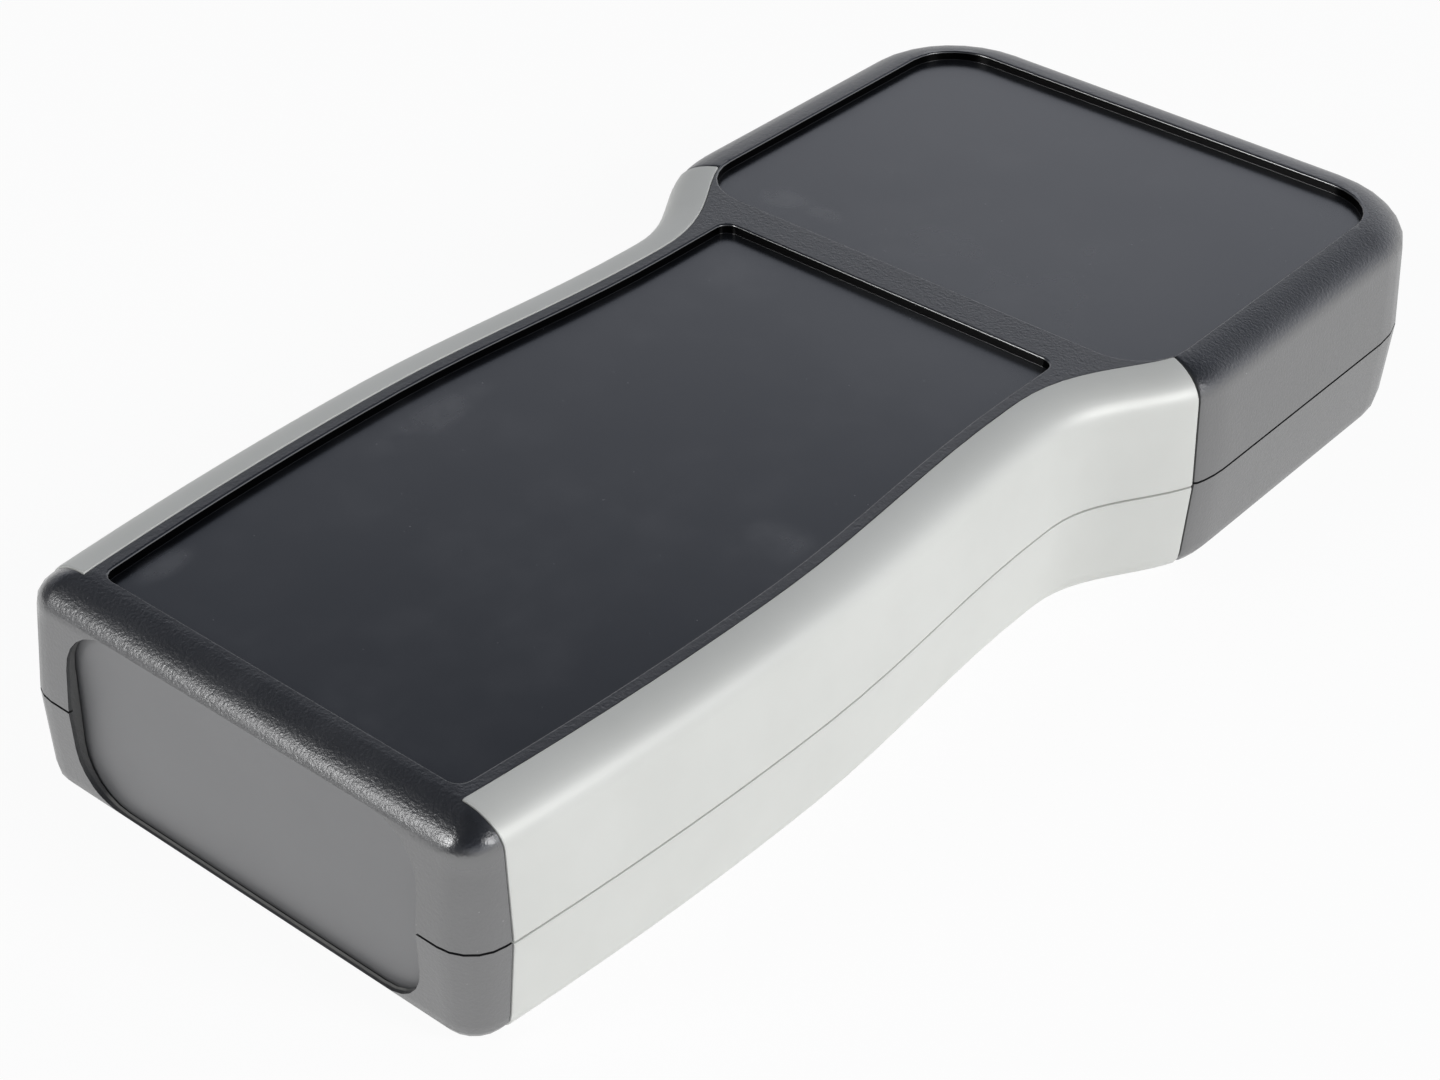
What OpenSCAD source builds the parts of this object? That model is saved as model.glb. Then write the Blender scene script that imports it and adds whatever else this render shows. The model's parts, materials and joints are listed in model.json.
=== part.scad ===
// Handheld instrument case: two moulded halves, four side inlays, a captured end panel and case screws.
// X runs across, Y from the grip end to the head, Z up from the flat underside.

/* [Overall size] */
// Length from the grip end to the head end
body_l = 210; // [180:1:250]
// Width across the head at the parting line
head_w = 100; // [90:1:120]
// Height from the underside to the top rim
body_h = 33; // [30:0.5:42]
// Height of the parting line above the underside
part_z = 15.5; // [13:0.5:18]

/* [Outline from above] */
// Width across the widest part of the grip
grip_w = 85.2; // [80:0.2:90]
// Width at the grip end
end_w = 78.8; // [76:0.2:84]
// Width across the waist
waist_w = 79; // [74:0.2:84]
// Distance from the grip end to the widest part of the grip
grip_y = 60; // [50:1:70]
// Distance from the grip end to the waist
waist_y = 115; // [105:1:120]
// Length of the flare from the waist to the full head width
flare_l = 32; // [28:1:40]
// Corner radius at the grip end
end_r = 6; // [4:0.5:8]
// Corner radius at the head end
head_r = 19; // [14:0.5:24]

/* [Edges] */
// How far the rounded top edge reaches in from the parting outline
edge_w = 7.9; // [6.5:0.1:9]
// Height of the rounded top edge
edge_h = 4.2; // [3.5:0.1:7]
// Inward lean of the upper side wall
draft = 1; // [0.4:0.1:1.5]
// Inward lean of the lower side wall
lower_draft = 0.7; // [0.3:0.1:1.2]
// Radius of the lower edge
foot_r = 3.5; // [2.5:0.1:5]
// Height of the shadow gap along the parting line
part_gap = 0.35; // [0.1:0.05:0.6]

/* [Walls] */
// Side wall, measured in from the outside face
wall = 3.4; // [3:0.1:4.2]
// Wall under the two top recesses
top_t = 2; // [1.5:0.1:3]
// Floor of the lower half
floor_t = 2.5; // [2:0.1:2.6]
// Thickness of the locating lip on the lower half
lip_t = 0.9; // [0.6:0.1:1.2]
// Height of the locating lip above the parting line
lip_h = 1.4; // [1:0.1:2.5]
// Clearance round the locating lip
lip_gap = 0.1; // [0.05:0.05:0.2]

/* [Top recesses] */
// Depth of both recesses
recess_d = 1.5; // [1:0.1:2.5]
// Rounding of the recess edges
recess_edge = 0.35; // [0.2:0.05:0.8]
// Black land from the grip end to the grip recess
grip_rec_y = 7.8; // [7:0.1:10]
// Length of the grip recess
grip_rec_l = 121; // [100:0.5:126]
// Margin from the parting outline to the side of the grip recess
grip_rec_in = 9.5; // [9:0.1:12]
// Corner radius of the grip recess
grip_rec_r = 2; // [1:0.1:4]
// Bridge between the two recesses
bridge_w = 6.5; // [4:0.1:8]
// Margin from the head end to the head recess
head_rec_y = 8.6; // [8.4:0.1:14]
// Margin from the head side to the head recess
head_rec_in = 8.2; // [8:0.1:12]
// Corner radius of the head recess
head_rec_r = 9; // [5:0.5:12]

/* [Side inlays] */
// Thickness of the inlays
inlay_t = 1.2; // [0.8:0.1:1.5]
// Gap between an inlay and its seat
inlay_gap = 0.1; // [0.05:0.05:0.2]
// Shadow gap at the head end of an inlay
inlay_end_gap = 0.35; // [0.2:0.05:0.5]
// How far the inlays reach in over the top edge
inlay_in = 7.6; // [6:0.1:7.8]
// How far the inlays reach in over the lower edge
inlay_foot = 3.9; // [3.4:0.1:4.1]
// Rounding of the inlay edges
inlay_r = 0.3; // [0.1:0.05:0.5]
// How far the inlays stand out from the case
inlay_rise = 0.2; // [0:0.05:0.4]
// Rounding of the case edge at the head end of the inlays
seat_edge = 0.7; // [0.3:0.1:1]
// Distance from the grip end to the inlays
inlay_y = 6.3; // [6:0.1:12]
// Distance from the grip end to the head end of the inlays, on the parting outline
inlay_far = 139; // [125:0.5:142]

/* [End panel] */
// Width of the opening in the grip end
open_w = 61.2; // [50:0.2:62]
// Height of the opening above the underside
open_z = 2; // [1.9:0.1:5]
// Depth of the frame above the opening, down from the top rim
open_top = 3.3; // [3.2:0.1:6]
// Corner radius of the opening
open_r = 7.5; // [2:0.1:9]
// Set-back of the panel face from the grip end
panel_in = 2.2; // [1.8:0.1:3.4]
// Thickness of the panel
panel_t = 2; // [1.5:0.1:2.5]
// How far the panel reaches behind its frame at the sides
panel_lap = 1.8; // [1:0.1:2.4]
// How far the panel reaches behind its frame above and below
panel_lap_z = 0.7; // [0.4:0.1:1]
// Clearance round the panel
panel_gap = 0.1; // [0.05:0.05:0.2]
// Play between the panel and the frame in front of it
panel_play = 0.3; // [0.1:0.05:0.5]
// Thickness of the ribs behind the panel
rib_t = 1.5; // [1:0.1:2]
// Height of the rib on the floor behind the panel
rib_h = 2; // [1:0.1:4]

/* [Case screws] */
// Distance of the grip end pair from the grip end
screw_y0 = 18; // [16:0.5:30]
// Spacing of the grip end pair
screw_w0 = 60; // [50:0.5:62]
// Distance of the head pair from the head end
screw_y1 = 16; // [14:0.5:24]
// Spacing of the head pair
screw_w1 = 72; // [60:0.5:76]
// Screw shank diameter
screw_d = 2.9; // [2.5:0.1:3.5]
// Screw length under the head
screw_l = 16; // [12:0.5:18]
// Screw head diameter
screw_head_d = 5.6; // [5:0.1:6.2]
// Screw head height
screw_head_h = 2.2; // [1.8:0.1:2.6]
// Depth of the screw wells in the underside
well_d = 7; // [4:0.1:9]
// Clearance of the screws in their holes and wells
screw_gap = 0.25; // [0.1:0.05:0.5]
// Clearance of the screws in the upper bosses
pilot_gap = 0.05; // [0.02:0.01:0.1]
// Wall of the screw bosses
boss_t = 1.9; // [1.2:0.1:2.4]

/* [Board posts] */
// Distance from the grip end to the first pair of posts
post_y = 40; // [32:1:60]
// Spacing of the posts along the case
post_l = 60; // [40:1:70]
// Spacing of the posts across the case
post_w = 54; // [40:1:60]
// Height of the posts above the floor
post_h = 4; // [2:0.5:8]
// Diameter of the posts
post_d = 6; // [5:0.5:8]
// Diameter of the pilot holes in the posts
post_hole_d = 2.4; // [2:0.1:3]

/* [Hidden] */
$fn = 48;

black = [0.17, 0.175, 0.19];
silver = [0.8, 0.81, 0.79];
grey = [0.27, 0.27, 0.275];
steel = [0.62, 0.63, 0.65];

over = 1;
root = 0.4;
soft = 1 - cos(45);
tiny_r = 0.8;
end_steps = 5;
grip_steps = 16;
flare_steps = 16;
head_steps = 8;
edge_steps = 7;
foot_steps = 4;

foot_in = lower_draft + foot_r;
ceil_z = body_h - recess_d - top_t;
seat_t = inlay_t + inlay_gap;
screw_z = well_d - screw_head_h;
boss_d = screw_d + 2 * boss_t;
well_r = screw_head_d / 2 + screw_gap;
grip_rec_far = grip_rec_y + grip_rec_l;
panel_z = open_z - panel_lap_z;
panel_top = body_h - open_top + panel_lap_z;
panel_w = open_w + 2 * panel_lap;
panel_back = panel_in + panel_t + panel_gap;
panel_r = open_r + panel_lap_z;
screw_spots = [for (sx = [-1, 1])
    each [[sx * screw_w0 / 2, screw_y0], [sx * screw_w1 / 2, body_l - screw_y1]]];
post_spots = [for (sx = [-1, 1], k = [0, 1]) [sx * post_w / 2, post_y + k * post_l]];

// Half width of the parting outline at a distance from the grip end
function ease(t) = t * t * t * (6 * t * t - 15 * t + 10);
function half_w(s) =
    s <= grip_y ? grip_w / 2 - (grip_w - end_w) / 2 * pow((grip_y - s) / grip_y, 2)
    : s <= waist_y ? grip_w / 2 - (grip_w - waist_w) / 4 * (1 - cos(180 * (s - grip_y) / (waist_y - grip_y)))
    : s <= waist_y + flare_l ? waist_w / 2 + (head_w - waist_w) / 2 * ease((s - waist_y) / flare_l)
    : head_w / 2;
function slope(s) = (half_w(s + 0.01) - half_w(s - 0.01)) / 0.02;

// Point of the outline at distance s, moved inward along the outline's normal
function side_pt(s, inset) =
    let (m = slope(s), k = norm([1, m]))
    [half_w(s) - inset / k, s + inset * m / k];

// Stations along the side, closer together in the flare
first_s = max(end_r, edge_w) + 2;
side_s = concat(
    [for (i = [0 : grip_steps]) first_s + (waist_y - first_s) * i / grip_steps],
    [for (i = [1 : flare_steps]) waist_y + flare_l * i / flare_steps]);
mid_s = [for (i = [1 : len(side_s) - 1]) (side_s[i - 1] + side_s[i]) / 2];

// Rounded corners at both ends of the outline, drawn in by the same inset
end_m = slope(end_r);
function end_corner(inset) =
    let (r = max(end_r - inset, tiny_r), c = inset + r, x = half_w(c) - c * norm([1, end_m]))
    [for (i = [0 : end_steps])
        let (a = -90 + (90 - atan(end_m)) * i / end_steps)
        [x + r * cos(a), c + r * sin(a)]];
function head_corner(inset) =
    let (r = max(head_r - inset, tiny_r), c = inset + r)
    [for (i = [0 : head_steps])
        let (a = 90 * i / head_steps)
        [head_w / 2 - c + r * cos(a), body_l - c + r * sin(a)]];
function half_ring(inset) = concat(end_corner(inset), [for (s = side_s) side_pt(s, inset)], head_corner(inset));

// Half outlines of the two recesses, grown outward by g
function corner(x, y, r, a0, steps) = [for (i = [0 : steps]) let (a = a0 + 90 * i / steps) [x + r * cos(a), y + r * sin(a)]];
function grip_rec_x(s) = half_w(min(s, waist_y)) - grip_rec_in;
function grip_rec_half(g) =
    let (r = grip_rec_r + g, y0 = grip_rec_y - g, y1 = grip_rec_far + g)
    concat(
        corner(grip_rec_x(y0 + r) + g - r, y0 + r, r, -90, 4),
        [for (i = [1 : grip_steps])
            let (s = grip_rec_y + grip_rec_r + (waist_y - grip_rec_y - grip_rec_r) * i / grip_steps)
            [grip_rec_x(s) + g, s]],
        corner(grip_rec_x(waist_y) + g - r, y1 - r, r, 0, 4));
function head_rec_half(g) =
    let (r = head_rec_r + g, x = head_w / 2 - head_rec_in + g)
    concat(
        corner(x - r, grip_rec_far + bridge_w - g + r, r, -90, 7),
        corner(x - r, body_l - head_rec_y + g - r, r, 0, 7));

// Closed skin through mirrored half outlines, one per height
module skin(halves, heights) {
    n = len(halves[0]);
    m = 2 * n;
    last = len(halves) - 1;
    pts = [for (k = [0 : last], i = [0 : m - 1])
        let (p = halves[k][i < n ? i : m - 1 - i])
        [i < n ? p.x : -p.x, p.y - body_l / 2, heights[k]]];
    sides = [for (k = [0 : last - 1], i = [0 : m - 1])
        let (j = (i + 1) % m, a = k * m, b = a + m)
        each [[a + i, b + i, b + j], [a + i, b + j, a + j]]];
    base = [for (i = [0 : n - 2]) [i, i + 1, m - 2 - i, m - 1 - i]];
    top = [for (i = [0 : n - 2]) let (t = last * m) [t + m - 1 - i, t + m - 2 - i, t + i + 1, t + i]];
    polyhedron(pts, concat(base, sides, top), convexity = 6);
}
module loft(levels) skin([for (l = levels) half_ring(l[0])], [for (l = levels) l[1]]);

// Flat shape of the outline drawn in by an inset
module outline(inset) {
    h = half_ring(inset);
    n = len(h);
    polygon([for (i = [0 : 2 * n - 1])
        let (p = h[i < n ? i : 2 * n - 1 - i])
        [i < n ? p.x : -p.x, p.y - body_l / 2]]);
}

// Inset and height pairs of the outside, drawn in by a thickness t
function upper_levels(t) = concat([[t, part_z]],
    [for (i = [0 : edge_steps])
        let (a = 90 * i / edge_steps)
        [edge_w - (edge_w - draft - t) * cos(a), body_h - edge_h + (edge_h - t) * sin(a)]]);
function lower_levels(t) = concat(
    [for (i = [0 : foot_steps])
        let (a = 90 - 90 * i / foot_steps)
        [foot_in - (foot_r - t) * cos(a), foot_r - (foot_r - t) * sin(a)]],
    [[t, part_z]]);

// Hollow of each half
upper_hollow = [[wall, part_z - over], [wall, part_z], [wall + draft, ceil_z - 2],
    [wall + draft + 0.6, ceil_z - 0.6], [wall + draft + 2, ceil_z]];
lower_hollow = [[wall + lower_draft + 2, floor_t], [wall + lower_draft + 0.6, floor_t + 0.6],
    [wall + lower_draft, floor_t + 2], [wall, part_z], [wall, part_z + over]];

// Plan area of the right-hand inlay seats, reaching in from outside
module inlay_zone(reach, z0, z1) {
    edge = [for (s = mid_s) if (s > inlay_y + 1 && s < inlay_far - 1) side_pt(s, reach)];
    out = side_pt(inlay_far, -2 * wall);
    pts = concat([[head_w, inlay_y], [side_pt(inlay_y, reach).x, inlay_y]], edge,
        [side_pt(inlay_far, reach), out, [head_w, out.y]]);
    translate([0, -body_l / 2, z0]) linear_extrude(z1 - z0) polygon(pts);
}

// Outside of each half drawn in by t, from the side wall to the inset b. The lower one has its own tz
// for heights, so that an inlay that stands out at the side never reaches below the underside
function upper_arc(t, b) =
    let (last = acos((edge_w - b) / (edge_w - draft - t)))
    [for (i = [0 : edge_steps])
        let (a = last * i / edge_steps)
        [edge_w - (edge_w - draft - t) * cos(a), body_h - edge_h + (edge_h - t) * sin(a)]];
function lower_arc(t, tz, b) =
    let (last = acos((foot_in - b) / (foot_r - t)))
    [for (i = [0 : foot_steps])
        let (a = last * i / foot_steps)
        [foot_in - (foot_r - t) * cos(a), foot_r - (foot_r - tz) * sin(a)]];

// Cross-section of an inlay with its outside drawn in by t: parting edge, outside, border, inside.
// Heights go up from the parting line for the upper inlays and down for the lower ones
function inlay_section(side, t) =
    let (up = side == "upper" ? 1 : -1, z = part_z + up * inlay_gap, r = inlay_r,
        b = (side == "upper" ? inlay_in : inlay_foot) - inlay_gap,
        o = t - inlay_rise,
        outer = side == "upper" ? upper_arc(o, b - r) : lower_arc(o, t, b - r),
        inner = side == "upper" ? upper_arc(inlay_t, b) : lower_arc(inlay_t, inlay_t, b),
        n = len(outer) - 1)
    concat([[o + r, z], [o + soft * r, z + up * soft * r], [o, z + up * r]], outer,
        [[b - soft * r, outer[n].y - up * soft * r], [b, outer[n].y - up * r]],
        [for (i = [0 : n]) inner[n - i]], [[inlay_t, z]]);

// Point at distance y from the grip end, at an inset from the side
function cut_pt(y, inset) =
    let (m = slope(y), k = norm([1, m]))
    [half_w(y - inset * m / k) - inset / k, y];

// Right-hand inlay swept along the side, its ends rounded as its borders are
module inlay(side) {
    y0 = inlay_y + inlay_gap;
    y1 = inlay_far - inlay_end_gap;
    turn = [[0, 1], [soft, soft], [1, 0]];
    near = [for (q = turn)
        [for (p = inlay_section(side, q[1] * inlay_r))
            let (c = cut_pt(y0 + q[0] * inlay_r, p[0])) [c.x, c.y - body_l / 2, p[1]]]];
    middle = [for (s = side_s) if (s > y0 + 1 && s < y1 - 1)
        [for (p = inlay_section(side, 0)) let (c = side_pt(s, p[0])) [c.x, c.y - body_l / 2, p[1]]]];
    far = [for (i = [2, 1, 0])
        [for (p = inlay_section(side, turn[i][1] * inlay_r))
            let (c = side_pt(y1 - turn[i][0] * inlay_r, p[0])) [c.x, c.y - body_l / 2, p[1]]]];
    rings = concat(near, middle, far);
    m = len(rings[0]);
    n = m / 2 - 4;
    cap = concat([[m - 1, 0, 1, 2, 3, m - 2]],
        [for (i = [0 : n - 1]) [3 + i, 4 + i, m - 3 - i, m - 2 - i]],
        [[3 + n, 4 + n, 5 + n, 6 + n]]);
    sweep(rings, cap, side == "lower");
}

// Cutter that rounds the edge of the case at the head end of a right-hand inlay
module seat_lip(side) {
    r = seat_edge;
    shape = [[-over / 2, -over], [-over / 2, r], [0, r], [soft * r, soft * r], [r, 0], [r, -over]];
    rows = [for (q = shape) side == "upper"
        ? concat([[q[1], part_z - over], [q[1], part_z]], upper_arc(q[1], inlay_in))
        : concat([[q[1], part_z + over], [q[1], part_z]], lower_arc(q[1], q[1], inlay_foot))];
    rings = [for (i = [0 : len(rows[0]) - 1])
        [for (k = [0 : len(shape) - 1])
            let (c = side_pt(inlay_far + shape[k][0], rows[k][i].x)) [c.x, c.y - body_l / 2, rows[k][i].y]]];
    sweep(rings, [for (i = [1 : 4]) [0, i, i + 1]], side == "lower");
}

// Skin through equal rings of points, its ends closed by the given faces
module sweep(rings, cap, turned) {
    m = len(rings[0]);
    last = len(rings) - 1;
    sides = [for (k = [0 : last - 1], i = [0 : m - 1])
        let (j = (i + 1) % m, a = k * m, b = a + m)
        each [[a + i, b + j, b + i], [a + i, a + j, b + j]]];
    faces = concat(sides, [for (f = cap) flip(f)], [for (f = cap) [for (i = f) i + last * m]]);
    polyhedron([for (r = rings) each r], turned ? [for (f = faces) flip(f)] : faces, convexity = 6);
}
function flip(f) = [for (i = [len(f) - 1 : -1 : 0]) f[i]];

module both_sides() {
    children();
    mirror([1, 0, 0]) children();
}

// Rounded rectangle standing in the end wall, from y0 to y1
module end_plate(w, z0, z1, r, y0, y1) {
    pts = concat(corner(w / 2 - r, z0 + r, r, -90, 6), corner(w / 2 - r, z1 - r, r, 0, 6),
        corner(r - w / 2, z1 - r, r, 90, 6), corner(r - w / 2, z0 + r, r, 180, 6));
    translate([0, y1 - body_l / 2, 0]) rotate([90, 0, 0]) linear_extrude(y1 - y0) polygon(pts);
}
module panel_space() {
    end_plate(open_w, open_z, body_h - open_top, open_r, -over, panel_in);
    end_plate(panel_w + 2 * panel_gap, panel_z - panel_gap, panel_top + panel_gap, panel_r,
        panel_in - panel_play, panel_back);
}

// Ribs that hold the panel from behind, following the wall of the hollow and rooted a little way into it
module panel_ribs(levels) {
    edge = [for (l = levels) [half_w(panel_back) - l[0] + root, l[1]]];
    pts = concat([[open_w / 2, edge[0].y]], edge, [[open_w / 2, edge[len(edge) - 1].y]]);
    both_sides()
        translate([0, panel_back + rib_t - body_l / 2, 0]) rotate([90, 0, 0]) linear_extrude(rib_t) polygon(pts);
}

module at_spots(spots, z)
    for (p = spots) translate([p.x, p.y - body_l / 2, z]) children();

module recess(halves_of) {
    steps = [0, 30, 60, 90];
    g = concat([0], [for (a = steps) recess_edge * (1 - cos(a))], [recess_edge]);
    z = concat([body_h - recess_d], [for (a = steps) body_h - recess_edge * (1 - sin(a))], [body_h + over]);
    if (halves_of == "grip") skin([for (v = g) grip_rec_half(v)], z);
    else skin([for (v = g) head_rec_half(v)], z);
}

module upper_shell() color(black) difference() {
    union() {
        difference() {
            union() {
                difference() {
                    loft(upper_levels(0));
                    both_sides() {
                        inlay_zone(inlay_in, part_z - over, body_h + over);
                        seat_lip("upper");
                    }
                }
                loft(upper_levels(seat_t));
            }
            loft(upper_hollow);
        }
        at_spots(screw_spots, part_z) cylinder(d = boss_d, h = ceil_z + top_t / 2 - part_z);
        panel_ribs([upper_hollow[1], upper_hollow[2], upper_hollow[3], upper_hollow[4] + [0, root]]);
    }
    recess("grip");
    recess("head");
    panel_space();
    // Rebate for the locating lip and shadow gap along the parting line
    translate([0, 0, part_z - over]) linear_extrude(over + lip_h + lip_gap) difference() {
        outline(wall - lip_t - lip_gap);
        outline(wall + lip_gap);
    }
    translate([0, 0, part_z - over]) linear_extrude(over + part_gap) difference() {
        outline(-over);
        outline(0.7);
    }
    at_spots(screw_spots, part_z - over) cylinder(d = screw_d + 2 * pilot_gap, h = over + well_d + screw_l - part_z + 1);
}

module lower_shell() color(black) difference() {
    union() {
        difference() {
            union() {
                difference() {
                    loft(lower_levels(0));
                    both_sides() {
                        inlay_zone(inlay_foot, -over, part_z + over);
                        seat_lip("lower");
                    }
                }
                loft(lower_levels(seat_t));
            }
            loft(lower_hollow);
        }
        // Locating lip, left out at the end panel
        translate([0, 0, part_z - over]) linear_extrude(over + lip_h) difference() {
            outline(wall - lip_t);
            outline(wall);
            translate([-panel_w / 2, -body_l / 2]) square([panel_w, panel_back + rib_t]);
        }
        at_spots(screw_spots, floor_t / 2) cylinder(d = 2 * well_r + 2 * boss_t, h = part_z - floor_t / 2);
        panel_ribs([lower_hollow[0] - [0, root], lower_hollow[1], lower_hollow[2], lower_hollow[3]]);
        translate([-panel_w / 2, panel_back - body_l / 2, floor_t / 2])
            cube([panel_w, rib_t, floor_t / 2 + rib_h]);
        at_spots(post_spots, floor_t / 2) cylinder(d = post_d, h = floor_t / 2 + post_h);
    }
    panel_space();
    at_spots(screw_spots, -over) cylinder(r = well_r, h = over + well_d);
    at_spots(screw_spots, 0) cylinder(d = screw_d + 2 * screw_gap, h = part_z + lip_h + over);
    at_spots(post_spots, floor_t) cylinder(d = post_hole_d, h = post_h + over);
}

module upper_right_inlay() color(silver) inlay("upper");
module upper_left_inlay() color(silver) mirror([1, 0, 0]) inlay("upper");
module lower_right_inlay() color(silver) inlay("lower");
module lower_left_inlay() color(silver) mirror([1, 0, 0]) inlay("lower");

module end_panel() color(grey)
    end_plate(panel_w, panel_z, panel_top, panel_r - panel_gap, panel_in, panel_in + panel_t);

module case_screws() color(steel) at_spots(screw_spots, well_d) difference() {
    union() {
        translate([0, 0, -screw_head_h]) cylinder(d = screw_head_d, h = screw_head_h);
        cylinder(d = screw_d, h = screw_l);
    }
    for (a = [0, 90]) rotate(a)
        translate([-screw_head_d * 0.28, -0.45, -screw_head_h - over])
            cube([screw_head_d * 0.56, 0.9, over + 1.2]);
}

upper_shell();
lower_shell();
upper_left_inlay();
upper_right_inlay();
lower_left_inlay();
lower_right_inlay();
end_panel();
case_screws();
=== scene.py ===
# %% [markdown]
# A handheld instrument case, dressed for the studio. The solid model already
# holds every piece at its true size and place, so no shape is made again here.
# This lesson loads it as a fixed frame, smooths the shading of a copy of each
# piece, gives each a finish, and sets a table, lamps and a camera to suit the
# photograph.

# %% Load the solid model as the frame
import json
import math
import bpy
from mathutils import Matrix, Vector

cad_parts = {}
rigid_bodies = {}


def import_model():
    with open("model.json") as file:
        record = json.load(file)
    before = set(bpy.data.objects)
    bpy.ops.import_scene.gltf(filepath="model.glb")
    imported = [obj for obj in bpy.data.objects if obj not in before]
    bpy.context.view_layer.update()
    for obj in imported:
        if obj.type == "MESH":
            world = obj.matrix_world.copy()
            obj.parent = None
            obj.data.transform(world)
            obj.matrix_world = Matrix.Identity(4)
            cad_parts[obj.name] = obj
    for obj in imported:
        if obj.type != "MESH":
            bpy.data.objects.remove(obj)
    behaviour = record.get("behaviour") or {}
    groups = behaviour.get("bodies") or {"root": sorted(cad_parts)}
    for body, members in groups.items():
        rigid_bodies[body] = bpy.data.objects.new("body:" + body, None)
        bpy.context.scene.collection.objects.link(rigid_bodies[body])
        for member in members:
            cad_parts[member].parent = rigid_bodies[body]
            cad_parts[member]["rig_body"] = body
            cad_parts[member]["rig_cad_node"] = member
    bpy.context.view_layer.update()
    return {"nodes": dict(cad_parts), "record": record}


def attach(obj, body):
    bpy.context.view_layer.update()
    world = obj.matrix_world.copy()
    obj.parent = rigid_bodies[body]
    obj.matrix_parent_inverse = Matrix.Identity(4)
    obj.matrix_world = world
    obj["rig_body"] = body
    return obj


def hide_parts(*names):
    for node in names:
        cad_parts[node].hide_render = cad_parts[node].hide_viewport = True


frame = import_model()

print("nodes", sorted(frame["nodes"]))

# %% [markdown]
# The camera stands where the photographer stood: in front of the grip end, to
# the right and well above the case. It could be moved by eye until the render
# looks alike. Here its place, turn and lens were fitted to the outline in the
# photograph, so that the render can be laid over it. The Standard view
# transform shows each colour about as it is written.

# %% Camera
SENSOR_MM = 36.0
LENS_MM = 72.43
NEAREST, FARTHEST = 0.01, 50.0
CAMERA_PLACE = (0.210443, -0.27521, 0.248081)
CAMERA_TURN = (54.4405, -1.3672, 39.6998)

camera_data = bpy.data.cameras.new("studio_camera")
camera_data.sensor_fit = "HORIZONTAL"
camera_data.sensor_width = SENSOR_MM
camera_data.lens = LENS_MM
camera_data.clip_start = NEAREST
camera_data.clip_end = FARTHEST
camera = bpy.data.objects.new("studio_camera", camera_data)
camera.location = CAMERA_PLACE
camera.rotation_euler = [math.radians(angle) for angle in CAMERA_TURN]
bpy.context.scene.collection.objects.link(camera)
bpy.context.scene.camera = camera
bpy.context.scene.view_settings.view_transform = "Standard"
print("camera lens", LENS_MM, "mm")

# %% [markdown]
# Shader sums read better as plain arithmetic than as a row of node calls. One
# small class wraps a node's output socket: the usual signs add Math nodes, and
# one method adds any other node with its settings and its inputs. A Mix node
# has sockets for several kinds of value, so its colours go by number.

# %% A socket that can be reckoned with
COLOUR_A, COLOUR_B, MIXED_COLOUR = 6, 7, 2


class Socket:
    def __init__(self, tree, out):
        self.tree, self.out = tree, out

    def node(self, kind, settings=None, inputs=None, output=0):
        made = self.tree.nodes.new(kind)
        for key, value in (settings or {}).items():
            if key == "stops":
                ramp = made.color_ramp
                while len(ramp.elements) < len(value):
                    ramp.elements.new(0.5)
                for element, (place, colour) in zip(ramp.elements, value):
                    element.position, element.color = place, colour
            else:
                setattr(made, key, value)
        for key, value in (inputs or {}).items():
            if isinstance(value, Socket):
                self.tree.links.new(value.out, made.inputs[key])
            else:
                made.inputs[key].default_value = value
        return Socket(self.tree, made.outputs[output])

    def maths(self, operation, first, second):
        return self.node("ShaderNodeMath", {"operation": operation}, {0: first, 1: second})

    def __add__(self, other): return self.maths("ADD", self, other)
    def __radd__(self, other): return self.maths("ADD", other, self)
    def __sub__(self, other): return self.maths("SUBTRACT", self, other)
    def __rsub__(self, other): return self.maths("SUBTRACT", other, self)
    def __mul__(self, other): return self.maths("MULTIPLY", self, other)
    def __rmul__(self, other): return self.maths("MULTIPLY", other, self)

    def size(self):
        return self.maths("ABSOLUTE", self, 0.0)

    def parts(self):
        split = self.node("ShaderNodeSeparateXYZ", None, {0: self}).out.node
        return [Socket(self.tree, out) for out in split.outputs]

    def noise(self, scale, detail, roughness):
        return self.node("ShaderNodeTexNoise", None, {
            "Vector": self, "Scale": scale, "Detail": detail, "Roughness": roughness})

    def ramp(self, low, high):
        return self.node("ShaderNodeMapRange", {"interpolation_type": "SMOOTHSTEP"},
                         {"Value": self, "From Min": low, "From Max": high})

    def mix(self, first, second):
        return self.node("ShaderNodeMix", {"data_type": "RGBA"},
                         {"Factor": self, COLOUR_A: first, COLOUR_B: second}, MIXED_COLOUR)


print("sockets can be added, subtracted and multiplied")

# %% [markdown]
# Every finish starts alike. What is the same all over a piece is a number on
# the Principled shader's own socket, and what varies is fed by a link. Patterns
# read Object coordinates, which here are metres in the frame, because each
# piece's object sits at the origin. Fine relief is a Bump, since the grain of
# moulded plastic is far too small to be worth faces of its own.

# %% What the finishes share
MOTTLE = (0.3, 0.7)


def start_finish(name, **constants):
    """A new material, its piece's coordinates, and the link that feeds what varies."""
    material = bpy.data.materials.new(name)
    material.use_nodes = True
    tree = material.node_tree
    shader = tree.nodes["Principled BSDF"]
    for key, value in constants.items():
        shader.inputs[key.replace("_", " ")].default_value = value
    here = Socket(tree, tree.nodes.new("ShaderNodeTexCoord").outputs["Object"])

    def feed(key, socket):
        tree.links.new(socket.out, shader.inputs[key])
    return material, here, feed


def mottled(cloud, dark, light):
    return cloud.ramp(*MOTTLE).mix(dark, light)


def embossed(height, strength, distance):
    return height.node("ShaderNodeBump", None,
                       {"Strength": strength, "Distance": distance, "Height": height})


print("finish helpers ready")

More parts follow.
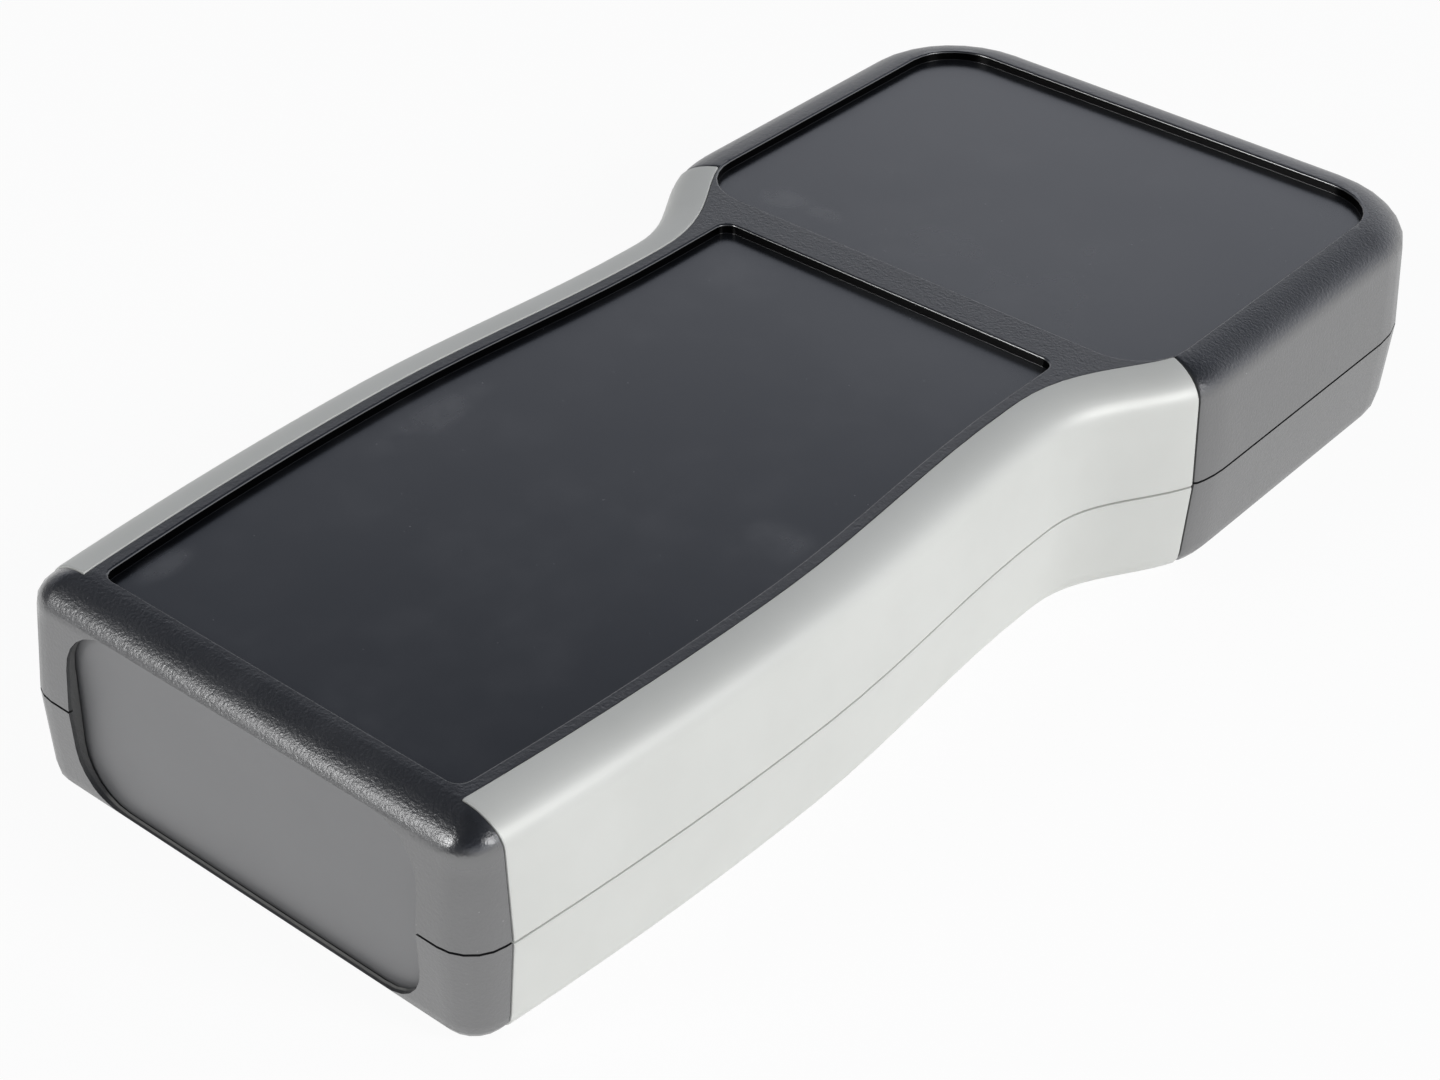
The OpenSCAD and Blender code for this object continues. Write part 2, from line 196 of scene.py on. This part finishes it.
# %% [markdown]
# Both shells are satin black plastic, with a fine grain outside and smoother
# floors in the two recesses. Faces could be picked and given materials of
# their own. One material with masks made from coordinates was chosen instead,
# because a mask can fade and doesn't depend on how the faces are cut. The
# reflections are stronger than those of real plastic, over a darker colour,
# which shows the white table in the side walls as the photograph does.

# %% Black plastic: the shader and four noises
# the coat's black tint is painted shade, used on the recess walls only
black, here, feed = start_finish("black_moulding", IOR=2.4, Coat_IOR=1.05, Coat_Roughness=0.3,
                                 Coat_Tint=(0.0, 0.0, 0.0, 1.0))
x, y, z = here.parts()
cloud = here.noise(scale=38.0, detail=4.0, roughness=0.6)
smear = here.noise(scale=150.0, detail=4.0, roughness=0.6)
grain = here.noise(scale=2200.0, detail=3.0, roughness=0.6)
specks = here.noise(scale=1500.0, detail=1.0, roughness=0.4).ramp(0.80, 0.83)
print("black moulding started")

# %% [markdown]
# A recess is what lies within its outline and below the rim. The outline is a little generous,
# because the height alone tells the floor and the walls from the flat top around them. It is
# wider in the head, and a slanting limit cuts its far corners. The walls of the recesses,
# between floor and rim, get painted shade that makes them nearly black, so they get a mask of
# their own.

# %% Where the recesses lie
FADE = 0.0002
GRIP_HALF_WIDTH = 0.0335
HEAD_WIDER_BY = 0.0086
BRIDGE_Y = (0.0285, 0.0295)
RECESS_HALF_LENGTH = 0.0967
CORNER_LIMIT = 0.1336
BELOW_FLOOR_Z = (0.0312, 0.0313)
WALL_FOOT_Z = (0.03151, 0.03154)
WALL_TOP_Z = (0.03280, 0.03268)
RIM_Z = (0.03299, 0.03296)


def within(room):
    return room.ramp(0.0, FADE)


half_width = GRIP_HALF_WIDTH + HEAD_WIDER_BY * y.ramp(*BRIDGE_Y)
inside = z.ramp(*BELOW_FLOOR_Z) * within(half_width - x.size())
inside = inside * within(RECESS_HALF_LENGTH - y.size())
inside = inside * within(CORNER_LIMIT - x.size() - y.size())
# painted shade: the mask of the recess walls, which the black-tinted coat darkens
shaded_wall = inside * z.ramp(*WALL_FOOT_Z) * z.ramp(*WALL_TOP_Z)
inside = inside * z.ramp(*RIM_Z)
print("recess mask up to", RIM_Z[0], "m")

# %% [markdown]
# Handling has left pale smudges on the recess floors, and the floors are also made lighter in
# broad patches near the bridge and in the head. Each mark could be painted by hand on a
# texture.
# Here it is a soft ellipse with a strength, a place, a turn and two half
# lengths, which needs no picture. Noise breaks the ellipses up, so that none
# shows a clean edge.

# %% Smudges and lighter patches on the recess floors
SMUDGES = (
    (0.8, -0.0283, -0.0896, 94, 0.0065, 0.003),
    (0.7, -0.0266, -0.0432, 91, 0.014, 0.0036),
    (0.9, -0.0305, 0.037, 20, 0.006, 0.0034),
    (0.7, -0.0217, 0.0376, 0, 0.004, 0.0026),
    (0.5, 0.0266, -0.0336, 0, 0.006, 0.005),
    (0.5, -0.0199, 0.0149, 0, 0.009, 0.008),
)
LIGHTER_PATCHES = (
    (0.42, 0.016, 0.036, 0, 0.040, 0.040),
    (0.10, -0.0156, 0.0671, 0, 0.026, 0.022),
)
SMUDGE_BREAKS = (0.25, 0.70)
PATCH_BASE = 0.4


def soft_ellipse(centre_x, centre_y, turn, half_long, half_short):
    c, s = math.cos(math.radians(turn)), math.sin(math.radians(turn))
    off_x, off_y = x - centre_x, y - centre_y
    along_it = off_x * (c / half_long) + off_y * (s / half_long)
    across_it = off_y * (c / half_short) - off_x * (s / half_short)
    return (along_it * along_it + across_it * across_it).ramp(1.0, 0.0)


def all_of(marks):
    first, *others = [strength * soft_ellipse(*shape) for strength, *shape in marks]
    return sum(others, first)


wiped = all_of(SMUDGES) * smear.ramp(*SMUDGE_BREAKS)
# broad lighter patches on the floors near the bridge and in the head
lightened = all_of(LIGHTER_PATCHES) * (PATCH_BASE + cloud)
smudged_and_lightened = inside * (wiped + lightened)
print(len(SMUDGES), "smudges and", len(LIGHTER_PATCHES), "lighter_patches")

# %% [markdown]
# The end panel sits back in its opening. The ledge below it and the sides of the opening are
# painted a lighter grey: painted light, standing in for the white table's light on them. The
# mask is the narrow band between the panel and the end face, which leans away from the parting
# plane, so the band's outer limit leans too. The low ledge takes most of the painted light and
# the sides of the opening take a little.

# %% Painted light in the panel's opening
OPENING_FOOT_Z = (0.0014, 0.0017)
OPENING_TOP_Z = (0.0302, 0.0299)
OPENING_HALF_WIDTH = 0.0312
END_FACE_Y = -0.1046
END_FACE_LEAN = 0.075
PARTING_Z = 0.0155
PANEL_Y = -0.1026
LEDGE_Z = (0.0034, 0.0026)
SIDE_PAINTED_LIGHT, LEDGE_PAINTED_LIGHT = 0.25, 0.65

# painted light: the mask for the lighter grey on the ledge and the sides of the opening
painted_opening_light = z.ramp(*OPENING_FOOT_Z) * z.ramp(*OPENING_TOP_Z)
painted_opening_light = painted_opening_light * within(OPENING_HALF_WIDTH - x.size())
painted_opening_light = painted_opening_light * within(y - END_FACE_Y - END_FACE_LEAN * (z - PARTING_Z).size())
painted_opening_light = painted_opening_light * within(PANEL_Y - y)
painted_opening_light = painted_opening_light * (SIDE_PAINTED_LIGHT + LEDGE_PAINTED_LIGHT * z.ramp(*LEDGE_Z)) * (0.6 + 0.8 * smear)
print("ledge from", END_FACE_Y, "to", PANEL_Y, "m")

# %% [markdown]
# The colour goes from bare black through a thin film to pale smudges and broad lighter patches
# on the recess floors, with a few pale specks over all. The ledge and sides of the panel's
# opening get a lighter grey as painted light. Coordinates mask the places and noise makes them
# uneven, so that nothing repeats as a tiled picture would.

# %% Black plastic: colour
BARE = (0.0085, 0.0095, 0.0120, 1.0)
FILMED = (0.028, 0.029, 0.032, 1.0)
FLOOR_PALE = (0.085, 0.087, 0.092, 1.0)
# painted light: the lighter grey of the opening's ledge and sides
PAINTED_LIGHT_GREY = (0.32, 0.32, 0.295, 1.0)
SPECK_GREY = (0.30, 0.30, 0.30, 1.0)
SPECK_SHARE = 0.4

film = cloud.ramp(0.38, 0.72) * smear.ramp(0.30, 0.70)
colour = film.mix(BARE, FILMED)
colour = smudged_and_lightened.mix(colour, FLOOR_PALE)
# painted light on the ledge and sides of the panel's opening
colour = painted_opening_light.mix(colour, PAINTED_LIGHT_GREY)
feed("Base Color", (SPECK_SHARE * specks).mix(colour, SPECK_GREY))
print("black colour fed")

# %% [markdown]
# The outside is satin and grained, and the recess floors are smoother, with no grain. The two
# upper corners at the grip end are rubbed smoother too, where a hand would hold the case, and
# catch small bright spots. A coat with a black tint, fed on the recess walls alone, is painted
# shade: it darkens what is seen through it. A darker base colour could not do that, because it
# leaves the reflections as they are.

# %% Black plastic: sheen and grain
WORN_X = (0.0325, 0.0365)
WORN_Y = (-0.0975, -0.1005)
WORN_Z = (0.026, 0.029)
SATIN, SLEEK = 0.30, 0.19
UNEVEN, SMEARED, RUBBED, MARKED = 0.08, 0.05, 0.15, 0.10
WALL_SHADE_COAT = 0.96
GRAIN_DEPTH = 0.000085
GRAIN_RUBBED_OFF = 0.55

worn = x.size().ramp(*WORN_X) * y.ramp(*WORN_Y) * z.ramp(*WORN_Z)
moulded = SATIN + UNEVEN * cloud + SMEARED * smear - RUBBED * worn
polished = SLEEK + UNEVEN * cloud + MARKED * smudged_and_lightened
feed("Roughness", moulded + inside * (polished - moulded))
# painted shade: the black-tinted coat darkens the recess walls
feed("Coat Weight", WALL_SHADE_COAT * shaded_wall)
feed("Normal", embossed(grain, 1.0 - inside - GRAIN_RUBBED_OFF * worn, GRAIN_DEPTH))
print("black roughness starts from", SATIN, "outside and", SLEEK, "in the recesses")

# %% [markdown]
# The inlays along both sides are light silver-grey, like paint with a fine
# metallic flake, and with much less grain than the black. A full metal would
# take all its brightness from the room, so only a fifth of the shader is metal.
# A very fine noise is the flake: it varies the roughness and adds a trace of
# relief.

# %% Silver plastic
SILVER_DARK = (0.67, 0.675, 0.64, 1.0)
SILVER_LIGHT = (0.705, 0.71, 0.675, 1.0)

silver, here, feed = start_finish("silver_inlay", IOR=1.5, Metallic=0.2)
cloud = here.noise(scale=45.0, detail=3.0, roughness=0.55)
flake = here.noise(scale=16000.0, detail=1.0, roughness=0.5)
feed("Base Color", mottled(cloud, SILVER_DARK, SILVER_LIGHT))
feed("Roughness", 0.44 + 0.06 * cloud + 0.05 * flake)
feed("Normal", embossed(flake, strength=0.05, distance=0.00004))
print("silver inlay ready")

# %% [markdown]
# The end panel is a flat plate of matte dark grey plastic with a fine grain. Its grey here is
# lighter than its own, partly painted light that stands in for the white table's light it
# reflects. It could be the black finish in a lighter colour, but it has no smudges and no
# recess, so it gets a plain finish of its own. A rough coat over the grey adds a soft sheen and
# leaves the grey itself as it is.

# %% Grey plastic
# the panel's own dark grey, lightened by painted light
PANEL_DARK = (0.165, 0.165, 0.168, 1.0)
PANEL_LIGHT = (0.180, 0.180, 0.183, 1.0)

grey, here, feed = start_finish("grey_panel", IOR=1.5, Coat_Weight=0.4, Coat_IOR=1.8,
                                Coat_Roughness=0.4)
cloud = here.noise(scale=60.0, detail=3.0, roughness=0.55)
grain = here.noise(scale=3000.0, detail=3.0, roughness=0.65)
feed("Base Color", mottled(cloud, PANEL_DARK, PANEL_LIGHT))
feed("Roughness", 0.45 + 0.08 * cloud)
feed("Normal", embossed(grain, strength=0.1, distance=0.00005))
print("grey panel ready")

# %% [markdown]
# Four plated steel screws hold the halves together from wells in the underside.
# They are seen only from below and from close by, so a bare metal with small
# clouds in its colour and its roughness is enough, and no thread is drawn.

# %% Screw steel
STEEL_DARK = (0.50, 0.50, 0.51, 1.0)
STEEL_LIGHT = (0.58, 0.58, 0.60, 1.0)

steel, here, feed = start_finish("plated_steel", Metallic=1.0)
cloud = here.noise(scale=900.0, detail=3.0, roughness=0.55)
feed("Base Color", mottled(cloud, STEEL_DARK, STEEL_LIGHT))
feed("Roughness", 0.28 + 0.12 * cloud)
print("plated steel ready")

# %% [markdown]
# The solid model's meshes are loose triangles and are never changed, so each
# piece starts as a copy of its node. A copy also carries the two marks that
# make it a node of the frame, and they are taken off.

# %% A copy of one solid
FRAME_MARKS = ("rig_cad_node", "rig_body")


def copy_of(node):
    bpy.ops.object.select_all(action="DESELECT")
    source = frame["nodes"][node]
    source.select_set(True)
    bpy.context.view_layer.objects.active = source
    bpy.ops.object.duplicate()
    piece = bpy.context.active_object
    bpy.ops.object.parent_clear(type="CLEAR_KEEP_TRANSFORM")
    for key in FRAME_MARKS:
        del piece[key]
    piece.name = node + "_moulding"
    return piece


print("copies can be made of", len(frame["nodes"]), "nodes")

# %% [markdown]
# The curved walls are rows of narrow flat strips, which would show as facets.
# The mouldings could be built again with subdivision, but then they would no
# longer be the true solids. So each copy is welded into one skin, its flat
# areas are joined, and the strips are shaded as one curve, while true corners
# stay crisp. Weighted normals keep large flat faces flat next to a curve.

# %% One smooth skin
WELD_GAP = 2e-6
FLAT_ANGLE = math.radians(0.15)
CREASE_ANGLE = math.radians(34)
FACE_WEIGHT = 100


def smooth_skin(piece):
    bpy.ops.object.mode_set(mode="EDIT")
    bpy.ops.mesh.select_all(action="SELECT")
    bpy.ops.mesh.customdata_custom_splitnormals_clear()
    bpy.ops.mesh.remove_doubles(threshold=WELD_GAP)
    bpy.ops.mesh.dissolve_limited(angle_limit=FLAT_ANGLE)
    bpy.ops.object.mode_set(mode="OBJECT")
    bpy.ops.object.shade_smooth_by_angle(angle=CREASE_ANGLE)
    bpy.ops.object.modifier_add(type="WEIGHTED_NORMAL")
    piece.modifiers[-1].keep_sharp = True
    piece.modifiers[-1].weight = FACE_WEIGHT
    bpy.ops.object.modifier_apply(modifier=piece.modifiers[-1].name)


print("creases sharper than", round(math.degrees(CREASE_ANGLE)), "degrees stay crisp")

# %% [markdown]
# Every piece of the record gets its skin and its finish, stands for its node
# and rides on the one body, because nothing on this case moves. The silver
# pieces are also gathered in a collection, which a lamp further down needs. It
# isn't linked to the scene, so it changes nothing else.

# %% Dress every piece
finishes = {"black_plastic": black, "silver_plastic": silver, "grey_plastic": grey,
            "screw_steel": steel}
flagged = bpy.data.collections.new("lit_by_the_flagged_softbox")
for part in frame["record"]["subparts"]:
    node, slot = part["node"], part["material_slot"]
    piece = copy_of(node)
    smooth_skin(piece)
    piece.data.materials.clear()
    piece.data.materials.append(finishes[slot])
    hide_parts(node)
    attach(piece, "root")
    if slot == "silver_plastic":
        flagged.objects.link(piece)
    print(piece.name, len(piece.data.polygons), "faces")

# %% [markdown]
# The case lies on a white table, which is the stage and no part of the case. A
# box with a top would do, but one large plane is enough. It lies 0.02 mm below
# the case, so that two flat faces don't lie in the same place, and it joins the
# silver pieces in their collection, so that the lamp lights it too.

# %% White table: the plane
TABLE_SIZE = 8.0
TABLE_Z = -0.00002

bpy.ops.object.select_all(action="DESELECT")
bpy.ops.mesh.primitive_plane_add(size=TABLE_SIZE, location=(0.0, 0.0, TABLE_Z))
floor = bpy.context.active_object
floor.name = "studio_floor"
flagged.objects.link(floor)
print("table", TABLE_SIZE, "m wide")

# %% [markdown]
# White paint alone would come out grey wherever the lamps are dim. So to the
# camera and in reflections the table is almost a plain white glow, brighter in
# reflections, and a small share of true shading keeps the case's shadow. From
# below it is clear, so that the underside can be looked at.

# %% White table: the paint
TABLE_PAINT = (0.92, 0.92, 0.92, 1.0)
TABLE_ROUGHNESS = 0.9
GLOW_SHARE = 0.94
BRIGHTER_IN_REFLECTIONS = 0.28
WHITE = (1.0, 1.0, 1.0, 1.0)

floor_paint = bpy.data.materials.new("white_table")
floor_paint.use_nodes = True
tree = floor_paint.node_tree
shader = tree.nodes["Principled BSDF"]
shader.inputs["Base Color"].default_value = TABLE_PAINT
shader.inputs["Roughness"].default_value = TABLE_ROUGHNESS
shader.inputs["Specular IOR Level"].default_value = 0.0
painted = Socket(tree, shader.outputs[0])
path = tree.nodes.new("ShaderNodeLightPath")
camera_ray = Socket(tree, path.outputs["Is Camera Ray"])
glossy_ray = Socket(tree, path.outputs["Is Glossy Ray"])
through_ray = Socket(tree, path.outputs["Is Transmission Ray"])
seen = camera_ray + glossy_ray + through_ray
glow = seen.node("ShaderNodeEmission", None, {
    "Color": WHITE, "Strength": 1.0 + BRIGHTER_IN_REFLECTIONS * glossy_ray})
top = seen.node("ShaderNodeMixShader", None, {0: GLOW_SHARE * seen, 1: painted, 2: glow})
backfacing = Socket(tree, tree.nodes.new("ShaderNodeNewGeometry").outputs["Backfacing"])
clear = backfacing.node("ShaderNodeBsdfTransparent")
table = backfacing.node("ShaderNodeMixShader", None, {0: backfacing, 1: top, 2: clear})
tree.links.new(table.out, tree.nodes["Material Output"].inputs["Surface"])
floor.data.materials.append(floor_paint)
print("table painted with", len(tree.nodes), "nodes")

# %% [markdown]
# Black satin plastic shows mostly what stands round it. The room is bright low
# down and dim overhead, so the side walls look grey and the flat top stays
# dark. It is brighter towards the far right and darker in front, which shades
# the walls one from another. Cards and screens could do this, but a world that
# depends on direction is simpler. The camera itself sees plain white.

# %% White room
ROOM_BY_HEIGHT = [
    (0.0, (1.0, 1.0, 1.0, 1.0)),
    (0.34, (0.74, 0.76, 0.82, 1.0)),
    (0.48, (0.44, 0.46, 0.52, 1.0)),
    (0.57, (0.22, 0.24, 0.285, 1.0)),
    (0.64, (0.09, 0.10, 0.125, 1.0)),
    (1.0, (0.05, 0.055, 0.065, 1.0)),
]
DARK_FRONT = (0.05, 0.052, 0.06, 1.0)
FRONT_SHARE = 0.8

world = bpy.data.worlds.new("white_room")
bpy.context.scene.world = world
world.use_nodes = True
tree = world.node_tree
way = Socket(tree, tree.nodes.new("ShaderNodeTexCoord").outputs["Generated"])
across, along, height = way.parts()
tall = height.node("ShaderNodeValToRGB", {"stops": ROOM_BY_HEIGHT}, {0: height})
far_right = (0.6 * across + 0.8 * along).ramp(0.0, 0.5)
lit = height.node("ShaderNodeVectorMath", {"operation": "SCALE"},
                  {0: tall, "Scale": 0.86 + 0.24 * far_right})
front = (-0.45 * across - 0.9 * along).ramp(0.0, 0.75)
room = (FRONT_SHARE * front).mix(lit, DARK_FRONT)
path = tree.nodes.new("ShaderNodeLightPath")
camera_ray = Socket(tree, path.outputs["Is Camera Ray"])
background = tree.nodes["Background"]
tree.links.new(camera_ray.mix(room, WHITE).out, background.inputs["Color"])
background.inputs["Strength"].default_value = 1.0
print("room with", len(ROOM_BY_HEIGHT), "steps of height")

# %% [markdown]
# One soft lamp stands at the front left and a weak one at the right. A third, just behind the
# weak one, lights only the silver pieces and the table, as if flags kept it off the rest. The
# silver needs that light, but on the black its glare would turn the bridge between the recesses
# white in a view from the left. Light linking does it here, and the model itself carries
# nothing of it.

# %% Lamps
LAMP_AIM = (0.0, 0.0, 0.02)
SOFTBOX_SIZE = 0.36


def softbox(name, place, watts):
    data = bpy.data.lights.new(name, "AREA")
    data.shape = "RECTANGLE"
    data.size = data.size_y = SOFTBOX_SIZE
    data.energy = watts
    lamp = bpy.data.objects.new(name, data)
    lamp.location = place
    lamp.rotation_euler = (Vector(LAMP_AIM) - Vector(place)).to_track_quat("-Z", "Y").to_euler()
    bpy.context.scene.collection.objects.link(lamp)
    return lamp


softbox("left_softbox", (-0.405, -0.910, 0.595), watts=3.8)
softbox("right_softbox", (0.92, 0.13, 0.60), watts=1.6)
flagged_softbox = softbox("flagged_softbox", (0.929, 0.131, 0.606), watts=4.1)
flagged_softbox.light_linking.receiver_collection = flagged
